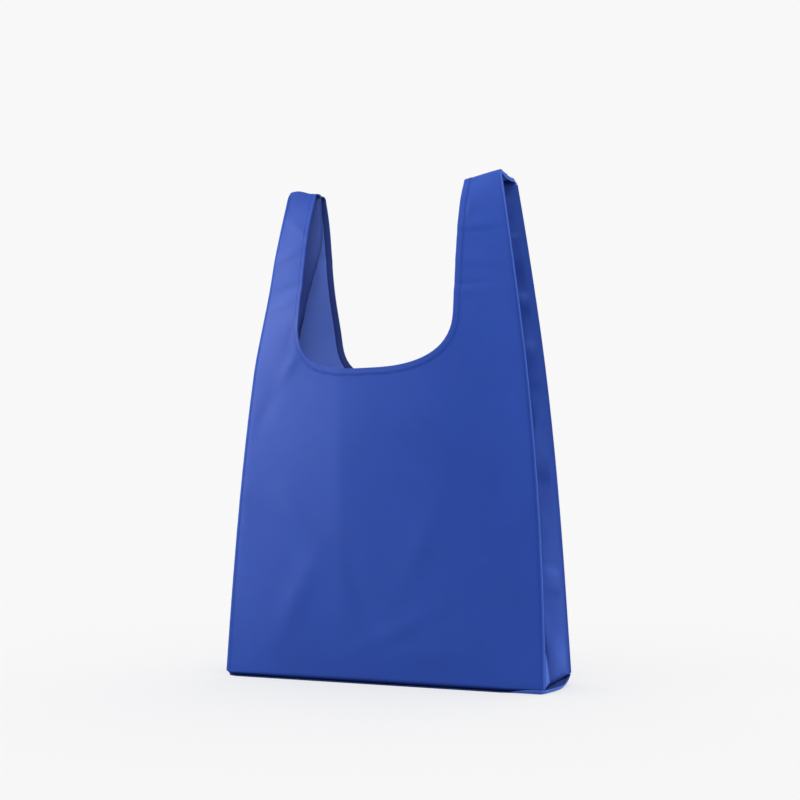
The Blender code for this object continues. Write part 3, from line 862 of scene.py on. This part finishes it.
def woven_cloth(name, colour, gloss):
    """Matte plain weave: crossing threads, uneven yarn, soft mottling, and painted shade and
    painted highlight from the seam attribute.
    """
    material, tree, shader = new_material(name)
    flat = add_node(tree, "ShaderNodeUVMap", uv_map="cloth").outputs["UV"]
    place = add_node(tree, "ShaderNodeTexCoord").outputs["Object"]
    split = add_node(tree, "ShaderNodeSeparateXYZ", {0: flat})
    turns = 2 * math.pi / settings().weave_pitch
    warp = maths(tree, "SINE", maths(tree, "MULTIPLY", split.outputs["X"], turns))
    weft = maths(tree, "SINE", maths(tree, "MULTIPLY", split.outputs["Y"], turns))
    weave = maths(tree, "MULTIPLY", warp, weft)
    warp_yarn = vector_maths(tree, "MULTIPLY", {0: flat, 1: (YARN_ACROSS, YARN_ALONG, 1.0)})
    weft_yarn = vector_maths(tree, "MULTIPLY", {0: flat, 1: (YARN_ALONG, YARN_ACROSS, 1.0)})
    yarn = maths(
        tree, "ADD", noise_at(tree, warp_yarn, 1.0, 1.0), noise_at(tree, weft_yarn, 1.0, 1.0)
    )
    cloudy = noise_at(tree, place, CLOUD_SCALE, 3.0)
    # Painted shade above 0 and painted highlight below 0, with the gussets' mottle
    sewn = add_node(tree, "ShaderNodeAttribute", attribute_name="seam").outputs["Fac"]
    tone = spread(tree, maths(tree, "MULTIPLY", yarn, 0.5), 0.96, 1.04)
    for share in (
        spread(tree, cloudy, 1.0 - MOTTLE, 1.0 + MOTTLE),
        spread(tree, weave, 1.0, 1.05),
        spread(tree, sewn, 1.0, PAINTED_SHADE_TONE),
    ):
        tone = maths(tree, "MULTIPLY", tone, share)
    paint = vector_maths(tree, "SCALE", {0: colour, "Scale": tone})
    # Painted highlight: a paler tint added where the seam attribute is below 0
    painted_highlight = maths(tree, "MAXIMUM", maths(tree, "MULTIPLY", sewn, -1.0), 0.0)
    relief = maths(tree, "ADD", weave, maths(tree, "MULTIPLY", yarn, 1.5))
    shine = spread(tree, maths(tree, "ABSOLUTE", sewn), gloss, gloss / 2)
    look = {
        "Base Color": vector_maths(tree, "MULTIPLY_ADD", {0: painted_highlight, 1: PAINTED_HIGHLIGHT_TINT, 2: paint}),
        "Roughness": spread(tree, cloudy, 0.56, 0.70),
        "Normal": bumped(tree, relief, 0.35, 0.00012),
        "Specular IOR Level": maths(tree, "MAXIMUM", shine, 0.0),
        "Specular Tint": (0.49, 0.65, 1.0, 1.0),
        "Sheen Weight": gloss / 10,
        "Sheen Roughness": 0.45,
        "Sheen Tint": (0.45, 0.56, 1.0, 1.0),
    }
    fill(tree, shader, look)
    return material


def sewing_thread(name, colour):
    """Twisted polyester thread, a little duller than the cloth."""
    material, tree, shader = new_material(name)
    place = add_node(tree, "ShaderNodeTexCoord").outputs["Object"]
    fibre = noise_at(tree, place, 900.0, 2.0)
    tone = spread(tree, fibre, 0.75, 1.25)
    look = {
        "Base Color": vector_maths(tree, "SCALE", {0: colour, "Scale": tone}),
        "Normal": bumped(tree, fibre, 0.3, 0.0001),
        "Roughness": 0.6,
        "Specular IOR Level": 0.2,
    }
    fill(tree, shader, look)
    return material


def cloth_materials(kind):
    """Outside, inside and the two faces of a folded hem, in the order that Solidify reads."""
    made = {}
    for finish in ("panel", "gusset", "inside", "shaded"):
        name, gloss = f"woven_{finish}", GUSSET_GLOSS if finish == "gusset" else PANEL_GLOSS
        colour = tuple(getattr(settings(), f"{finish}_colour"))
        made[finish] = bpy.data.materials.get(name) or woven_cloth(name, colour, gloss)
    # Panels show the paler inside colour within, partly painted light; gussets and base show the
    # shaded copy, painted shade
    inside = made["inside" if kind == "panel" else "shaded"]
    return [made[kind], inside, made[kind], made["shaded"]]


def panel_rows(face):
    """The lattice and hem rows of the front (-1) or back (1) panel, with their ripples."""
    lattice, hem = panel_lattice(), hem_lattice()
    if face > 0:
        lattice, hem = lapped_lattice(lattice), lapped_hem(hem)

    def move(x, y, z):
        return x, y + face * panel_ripple(face, x, z), z + corner_lift(x, y, z)

    return each_point(lattice, move), each_point(hem, move)


def make_panel(name, node, face):
    lattice, hem = panel_rows(face)
    last = len(lattice[0]) - 1

    def panel_painted_light(i, j):
        # Painted shade on the bottom fold's rows, where the shadow under the edge falls, and
        # painted highlight on the side seam lips
        if i < len(FOLD_SHADE):
            return FOLD_SHADE[i]
        beside = min(j, last - j)
        return LIP_SHADE[beside] if beside < len(LIP_SHADE) else 0.0

    def hem_painted_shade(i, j):
        # Painted shade along the hem band's inner line and its stitch line
        return HEM_SHADE[j] if j < len(HEM_SHADE) else 0.0

    # The crown's rows use the hem's slots, so their underside shows the shaded copy: painted shade
    # under the crown
    crown = len(lattice) - CROWN_ROWS - CORNER_STEPS - 4
    patches = (
        (lattice, panel_painted_light, lambda i: 2 if i > crown else 0),
        (hem, hem_painted_shade, lambda i: 2, True),
    )
    make_cloth(name, node, "panel_cloth", Vector((0, face, 0)), (0.404, 0.645), 0.183, *patches)


def fold_shade(side, columns, z):
    """How dark a gusset's fold is painted, this many columns behind its crease: painted shade,
    less a painted highlight near its foot and towards its back edge.
    """
    painted_foot_light = FOOT_PAINTED_LIGHT * (1 - eased((z - 0.020) / 0.080))
    if columns < 0:
        return max(0.0, 1 + columns) * CREASE_SHADE - 2.2 * painted_foot_light
    crease, depth = CREASE_AT[side](z / HEIGHT), side_half_depth(side, z)
    deep = max(0.0, (2.26 * crease - depth) / (2.26 * crease + depth))
    edge = deep * (GUSSET_COLUMNS + 1)
    strength = CREASE_SHADE * eased((z - 0.010) / 0.040) * eased((0.500 - z) / 0.080)
    paler = (0.6 * painted_foot_light + BACK_PAINTED_LIGHT) * columns / GUSSET_COLUMNS
    return strength * (1 - eased((columns - edge) / 2.2)) - paler


def make_gusset(name, node, side, crown):
    rows = rippled_gusset(gusset_lattice(side, crown), side)
    last = len(rows[0]) - 1

    def gusset_painted_light_and_mottle(i, j):
        # Painted shade beside the front seam, where the lip shades the gusset, and painted
        # highlight along its back edge
        if j < 3:
            return GUSSET_EDGE_SHADE[j]
        if j > last - 3:
            return GUSSET_BACK_EDGE_SHADE
        _, y, z = rows[i][j]
        mottle = GUSSET_MOTTLE * noise.noise(Vector((y * 45.0, z * 28.0, side * 4.1)))
        # Painted highlight on the crease bumps that stand out, painted shade in the sunk ones
        folds = FOLD_PAINTED_LIGHT * crease_depth(GUSSET_CREASES, y, z)
        return fold_shade(side, j - last // 2, z) + mottle - folds

    outward, patch = Vector((side, 0, 0)), (rows, gusset_painted_light_and_mottle)
    make_cloth(name, node, "gusset_cloth", outward, (0.105, 0.605), 0.052, patch)


def make_base(name, node):
    rows = base_lattice()
    last_row, last_column = len(rows) - 1, len(rows[0]) - 1

    def base_painted_light(i, j):
        from_long_edge, from_end = min(i, last_row - i), min(j, last_column - j)
        # Painted highlight on the curled right rim, painted shade along the long edges under the
        # panels' folds
        if j > last_column / 2 and (from_end < 6 or (from_long_edge < 4 and from_end < 12)):
            return RIM_SHADE
        return BASE_EDGE_SHADE if from_long_edge < 7 else 0.0

    outward, patch = Vector((0, 0, -1)), (rows, base_painted_light)
    make_cloth(name, node, "base_cloth", outward, (0.417, 0.107), None, patch)


def surface_tree(*objects):
    """The finished surfaces of these objects, to measure other pieces against."""
    points, faces = [], []
    for item in objects:
        start = len(points)
        points += [vertex.co.copy() for vertex in item.data.vertices]
        faces += [[start + k for k in face.vertices] for face in item.data.polygons]
    return BVHTree.FromPolygons(points, faces)


def offset_line(points, beside, distance):
    """A line of points moved off its cloth, given points beside it on the same cloth."""
    points, beside = np.array(points), np.array(beside)
    ahead = np.gradient(points, axis=0)
    normal = np.cross(ahead, beside - points)
    normal /= np.linalg.norm(normal, axis=1)[:, None]
    return points + normal * distance


def mixed(first, second, share):
    return [tuple(np.array(a) * (1 - share) + np.array(b) * share) for a, b in zip(first, second)]


def stitch_lines():
    """Every line of sewing as lists of points that lie on the cloth's surfaces."""
    sunk = 0.3 * settings().thread_radius
    on_hem = HEM_THICKNESS / 2 + sunk
    on_cloth = CLOTH / 2 + sunk
    hems, seams, crowns, bases = [], [], [], []
    for face in (-1, 1):
        lattice, hem = panel_rows(face)
        sewn, beside = [row[2] for row in hem], [row[4] for row in hem]
        hems += [offset_line(sewn, beside, way * on_hem) for way in (-1, 1)]
        upright = lattice[9 : -CROWN_ROWS - (4 if face < 0 else 7)]
        for lip, seam in ((0, 1), (-1, -2)):
            root = [row[seam] for row in upright]
            sewn = mixed([row[lip] for row in upright], root, 0.5)
            way = 1 if (lip == 0) == (face < 0) else -1
            seams.append(offset_line(sewn, root, -way * on_cloth))
            seams.append(offset_line(sewn, root, way * (on_cloth + LAYER)))
    lattice, hem = panel_rows(-1)
    for back in (2, 4):
        for side in (-1, 1):
            reach = slice(1, SIDE_COLUMNS + 2) if side < 0 else slice(-2, -SIDE_COLUMNS - 3, -1)
            near, far = (back - 1, back) if side < 0 else (-back, -back - 1)
            points = lattice[-back][reach] + hem[near][3:-1]
            beside = lattice[-back - 1][reach] + hem[far][3:-1]
            crowns.append(offset_line(points, beside, -side * on_hem))
    for y in (-BASE_SEAM, BASE_SEAM):
        for z in (UNDER_BASE, LAYER + CLOTH + sunk):
            bases.append([(x, y, z) for x in np.linspace(-0.190, 0.190, 60)])
    for x in (-0.184, 0.184):
        bases.append([(x, y, UNDER_BASE) for y in np.linspace(-0.026, 0.026, 14)])
    return {
        "hem_stitches": hems,
        "seam_stitches": seams,
        "crown_stitches": crowns,
        "base_stitches": bases,
    }


def stitch_sizes():
    bag = settings()
    return {
        "Stitch length": bag.stitch_length,
        "Gap": bag.stitch_gap,
        "Thread radius": bag.thread_radius,
    }


def stitch_tree(material):
    """Geometry nodes that lay one thread stitch after another along a line."""
    tree = bpy.data.node_groups.new("stitch_line", "GeometryNodeTree")
    sockets = tree.interface
    sockets.new_socket("Line", in_out="INPUT", socket_type="NodeSocketGeometry")
    for name, value in stitch_sizes().items():
        socket = sockets.new_socket(name, in_out="INPUT", socket_type="NodeSocketFloat")
        socket.default_value = value
    seed = sockets.new_socket("Seed", in_out="INPUT", socket_type="NodeSocketInt")
    seed.default_value = 7
    sockets.new_socket("Stitches", in_out="OUTPUT", socket_type="NodeSocketGeometry")
    given = tree.nodes.new("NodeGroupInput").outputs
    length, radius = given["Stitch length"], given["Thread radius"]
    curve = add_node(tree, "GeometryNodeMeshToCurve", {"Mesh": given["Line"]}).outputs[0]
    spacing = {"Curve": curve, "Length": maths(tree, "ADD", length, given["Gap"])}
    points = add_node(tree, "GeometryNodeResampleCurve", spacing, mode="LENGTH")
    ball = add_node(tree, "GeometryNodeMeshUVSphere", {"Segments": 6, "Rings": 4, "Radius": 1.0})
    tangent = tree.nodes.new("GeometryNodeInputTangent").outputs[0]
    turn = add_node(tree, "FunctionNodeAlignRotationToVector", {"Vector": tangent}, axis="Z")
    chance = {2: 0.90, 3: 1.04, "Seed": given["Seed"]}
    uneven = add_node(tree, "FunctionNodeRandomValue", chance, data_type="FLOAT").outputs[1]
    half = maths(tree, "MULTIPLY", maths(tree, "MULTIPLY", length, 0.5), uneven)
    size = add_node(tree, "ShaderNodeCombineXYZ", {"X": radius, "Y": radius, "Z": half})
    stitches = {
        "Points": points.outputs[0],
        "Instance": ball.outputs["Mesh"],
        "Rotation": turn.outputs[0],
        "Scale": size.outputs[0],
    }
    made = add_node(tree, "GeometryNodeInstanceOnPoints", stitches).outputs[0]
    made = add_node(tree, "GeometryNodeRealizeInstances", {"Geometry": made}).outputs[0]
    made = add_node(tree, "GeometryNodeSetShadeSmooth", {"Geometry": made}).outputs[0]
    painted = {"Geometry": made, "Material": material}
    made = add_node(tree, "GeometryNodeSetMaterial", painted).outputs[0]
    add_node(tree, "NodeGroupOutput", {0: made})
    return tree


def sew(name, lines, tree):
    """Lays stitches along the lines and leaves them as one plain mesh."""
    mesh = bpy.data.meshes.new(name)
    points, edges = [], []
    for line in lines:
        first = len(points)
        points += [tuple(point) for point in line]
        edges += [(first + k, first + k + 1) for k in range(len(line) - 1)]
    mesh.from_pydata(points, edges, [])
    item = new_object(name, mesh)
    modifier = item.modifiers.new("stitches", "NODES")
    modifier.node_group = tree
    sizes = stitch_sizes()
    for socket in tree.interface.items_tree:
        if socket.name in sizes:
            modifier[socket.identifier] = sizes[socket.name]
    settled(item)
    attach(item, "root")


COLOUR = {"subtype": "COLOR", "size": 3, "min": 0.0, "max": 1.0}


class ShoppingBagSettings(bpy.types.PropertyGroup):
    """Sizes and colours of the dressed bag."""

    panel_colour: FloatVectorProperty(
        name="Panel cloth", default=(0.0127, 0.0431, 0.263),
        description="Colour of the front and back panels", **COLOUR,
    )
    # A darker copy of the panel cloth: painted shade for the gussets, which face away from the key
    # light; the base shares it
    gusset_colour: FloatVectorProperty(
        name="Gusset cloth", default=(0.0078, 0.0290, 0.190),
        description="Colour of the side gussets and the base", **COLOUR,
    )
    # Paler inner face: partly the coated face's own paler colour, partly painted light for what
    # shines through the thin cloth
    inside_colour: FloatVectorProperty(
        name="Inside of the cloth", default=(0.117, 0.200, 0.645),
        description="Colour of the cloth's paler inner face", **COLOUR,
    )
    shaded_colour: FloatVectorProperty(
        name="Inside of hems and gussets", default=(0.030, 0.055, 0.232),
        description="Colour of the doubled cloth that no light shines through", **COLOUR,
    )
    thread_colour: FloatVectorProperty(
        name="Thread", default=(0.014, 0.048, 0.280),
        description="Colour of the sewing thread", **COLOUR,
    )
    weave_pitch: FloatProperty(
        name="Weave pitch", unit="LENGTH", default=0.0007, min=0.0002,
        description="Distance from one thread of the weave to the next but one",
    )
    ripple_depth: FloatProperty(
        name="Ripple depth", unit="LENGTH", default=0.0026, min=0.0,
        description="How far the limp cloth stands out of its even curve",
    )
    pucker_depth: FloatProperty(
        name="Pucker depth", unit="LENGTH", default=0.0004, min=0.0,
        description="Depth of the small puckers beside the side seams",
    )
    stitch_length: FloatProperty(
        name="Stitch length", unit="LENGTH", default=0.0026, min=0.0005,
        description="Length of one visible stitch",
    )
    stitch_gap: FloatProperty(
        name="Stitch gap", unit="LENGTH", default=0.0005, min=0.0,
        description="Gap between one stitch and the next",
    )
    thread_radius: FloatProperty(
        name="Thread radius", unit="LENGTH", default=0.00018, min=0.00005,
        description="Half the thickness of the sewing thread",
    )
    key_power: FloatProperty(
        name="Key light", unit="POWER", default=53.0, min=0.0,
        description="Power of the large soft light at the upper left",
    )
    top_power: FloatProperty(
        name="Top light", unit="POWER", default=3.5, min=0.0,
        description="Power of the soft light above the front",
    )
    fill_power: FloatProperty(
        name="Fill light", unit="POWER", default=3.1, min=0.0,
        description="Power of the small soft light low on the right",
    )
    backdrop_colour: FloatVectorProperty(
        name="Backdrop", default=(0.94, 0.94, 0.94),
        description="Colour of the pale background", **COLOUR,
    )


class BAG_OT_panels(bpy.types.Operator):
    """Builds the front and back panels with their straps and hems"""

    bl_idname = "bag.make_panels"
    bl_label = "Front and back panels"

    def execute(self, context):
        make_panel("front_cloth", "front_panel", -1)
        make_panel("back_cloth", "back_panel", 1)
        return {"FINISHED"}


class BAG_OT_gussets(bpy.types.Operator):
    """Builds the folded gusset at each side, up to the underside of the crowns"""

    bl_idname = "bag.make_gussets"
    bl_label = "Side gussets"

    def execute(self, context):
        crown = surface_tree(bpy.data.objects["front_cloth"], bpy.data.objects["back_cloth"])
        make_gusset("left_gusset_cloth", "gusset_left", -1, crown)
        make_gusset("right_gusset_cloth", "gusset_right", 1, crown)
        return {"FINISHED"}


class BAG_OT_base(bpy.types.Operator):
    """Builds the flat base with its curled end rims"""

    bl_idname = "bag.make_base"
    bl_label = "Base"

    def execute(self, context):
        make_base("base_cloth_piece", "base_panel")
        return {"FINISHED"}


class BAG_OT_stitches(bpy.types.Operator):
    """Sews the hems, side seams, crowns and base"""

    bl_idname = "bag.make_stitches"
    bl_label = "Stitches"

    def execute(self, context):
        tree = stitch_tree(sewing_thread("sewing_thread", tuple(settings().thread_colour)))
        for name, lines in stitch_lines().items():
            sew(name, lines, tree)
        return {"FINISHED"}


class BAG_OT_stage(bpy.types.Operator):
    """Sets up the pale floor, the soft studio light and the camera"""

    bl_idname = "bag.make_stage"
    bl_label = "Floor, light and camera"

    def execute(self, context):
        bag = settings()
        backdrop = (*bag.backdrop_colour, 1.0)
        floor = new_object("floor", bpy.data.meshes.new("floor"))
        corners = [(x, y, 0) for x, y in ((-1, -1), (1, -1), (1, 1), (-1, 1))]
        corners = [FLOOR_REACH * Vector(corner) for corner in corners]
        floor.data.from_pydata(corners, [], [range(4)])
        pale, tree, shader = new_material("pale_floor")
        look = {
            "Base Color": (FLOOR_GREY, FLOOR_GREY, FLOOR_GREY, 1.0),
            "Emission Color": backdrop,
            "Emission Strength": 1.0 - FLOOR_GREY,
            "Roughness": 0.9,
            "Specular IOR Level": 0.0,
        }
        fill(tree, shader, look)
        floor.data.materials.append(pale)
        floor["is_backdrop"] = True

        world = bpy.data.worlds.new("studio")
        context.scene.world = world
        context.scene.view_settings.view_transform = "Standard"
        world.use_nodes = True
        sky = world.node_tree.nodes["Background"]
        sky.inputs["Color"].default_value = backdrop
        sky.inputs["Strength"].default_value = 1.0

        cloth = bpy.data.collections.new("lit_cloth")
        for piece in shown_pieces():
            cloth.objects.link(piece)
        for name, place, aim, size, power in (
            ("key", (-1.90, -0.55, 1.10), (-0.05, 0.0, 0.34), 1.2, bag.key_power),
            ("top", (0.32, -0.55, 1.05), (0.10, 0.0, 0.50), 0.5, bag.top_power),
            ("fill", (0.70, 0.05, 0.06), (0.19, 0.0, 0.06), 0.3, bag.fill_power),
        ):
            soft = bpy.data.lights.new(name, "AREA")
            soft.shape = "DISK"
            soft.size = size
            soft.energy = power
            item = new_object(name, soft)
            item.location = place
            turn = Vector(aim) - item.location
            item.rotation_euler = turn.to_track_quat("-Z", "Y").to_euler()
            item.light_linking.receiver_collection = cloth

        lens = bpy.data.cameras.new("camera")
        lens.lens = 56.25
        lens.sensor_width = 36.0
        camera = new_object("camera", lens)
        camera.location = (0.616, -1.3772, 0.2024)
        camera.rotation_euler = (math.radians(94.94), 0.0, math.radians(23.86))
        context.scene.camera = camera
        return {"FINISHED"}


class BAG_PT_sidebar(bpy.types.Panel):
    bl_label = "Shopping bag"
    bl_space_type = "VIEW_3D"
    bl_region_type = "UI"
    bl_category = "Shopping bag"

    def draw(self, context):
        bag = context.scene.shopping_bag
        for name in bag.__annotations__:
            self.layout.prop(bag, name)
        for step in STEPS:
            self.layout.operator(step.bl_idname)


STEPS = (BAG_OT_panels, BAG_OT_gussets, BAG_OT_base, BAG_OT_stitches, BAG_OT_stage)


def register():
    bpy.utils.register_class(ShoppingBagSettings)
    for step in STEPS:
        bpy.utils.register_class(step)
    bpy.utils.register_class(BAG_PT_sidebar)
    bpy.types.Scene.shopping_bag = PointerProperty(type=ShoppingBagSettings)


def unregister():
    del bpy.types.Scene.shopping_bag
    bpy.utils.unregister_class(BAG_PT_sidebar)
    for step in reversed(STEPS):
        bpy.utils.unregister_class(step)
    bpy.utils.unregister_class(ShoppingBagSettings)


def main():
    register()
    bpy.ops.bag.make_panels()
    bpy.ops.bag.make_gussets()
    bpy.ops.bag.make_base()
    bpy.ops.bag.make_stitches()
    bpy.ops.bag.make_stage()


if __name__ == "__main__":
    main()
